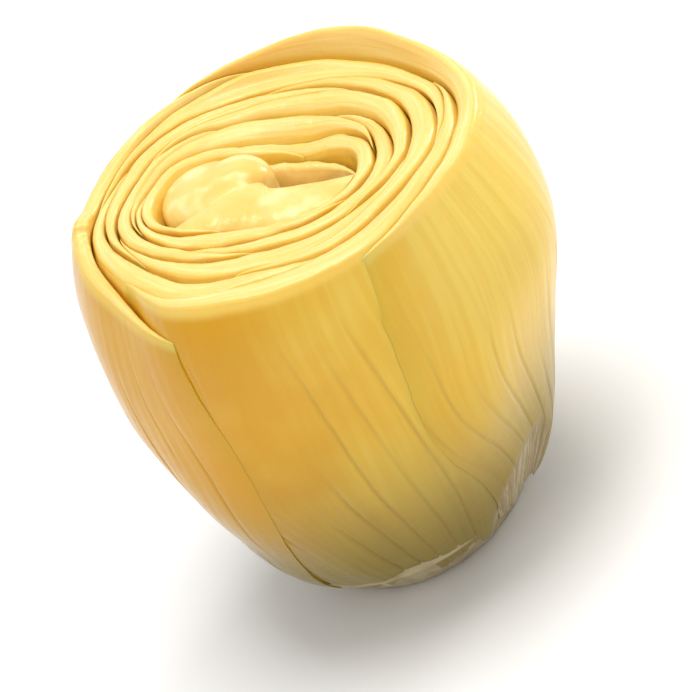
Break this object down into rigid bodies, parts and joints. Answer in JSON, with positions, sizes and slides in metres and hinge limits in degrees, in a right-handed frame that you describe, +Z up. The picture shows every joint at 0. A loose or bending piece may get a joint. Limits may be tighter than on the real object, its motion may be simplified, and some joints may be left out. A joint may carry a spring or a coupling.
{
  "type": "artichoke heart",
  "caption": "Trimmed and cooked artichoke heart: golden bracts wrapped round a fleshy bottom, tips cut off flat, standing on its stem cut.",
  "frame": {"origin": "middle of the small flat where the stem was cut, which the heart stands on", "axes": "+Z up along the bud's axis towards the cut face, +X the side to which the cut face drops and the belly bulges"},
  "size_m": [0.0434, 0.0407, 0.0436],
  "materials": {
    "leaf_skin": "wet cooked bract, golden yellow with fine lengthwise veins and a paler cut edge",
    "young_skin": "wet young bract, pale cream yellow",
    "bottom_flesh": "pared flesh, grey white with fibres"
  },
  "bodies": {
    "root": {"fleshy_bottom": "bottom_flesh", "outer_leaf_1": "leaf_skin", "outer_leaf_2": "leaf_skin", "outer_leaf_3": "leaf_skin", "outer_leaf_4": "leaf_skin", "outer_leaf_5": "leaf_skin", "middle_leaf_1": "leaf_skin", "middle_leaf_2": "leaf_skin", "middle_leaf_3": "leaf_skin", "middle_leaf_4": "leaf_skin", "middle_leaf_5": "leaf_skin", "inner_leaf_1": "leaf_skin", "inner_leaf_2": "leaf_skin", "inner_leaf_3": "leaf_skin", "inner_leaf_4": "leaf_skin", "inner_leaf_5": "leaf_skin", "folded_leaf": "young_skin", "young_leaf_1": "young_skin", "young_leaf_2": "young_skin", "centre_bud": "young_skin"}
  },
  "joints": []
}
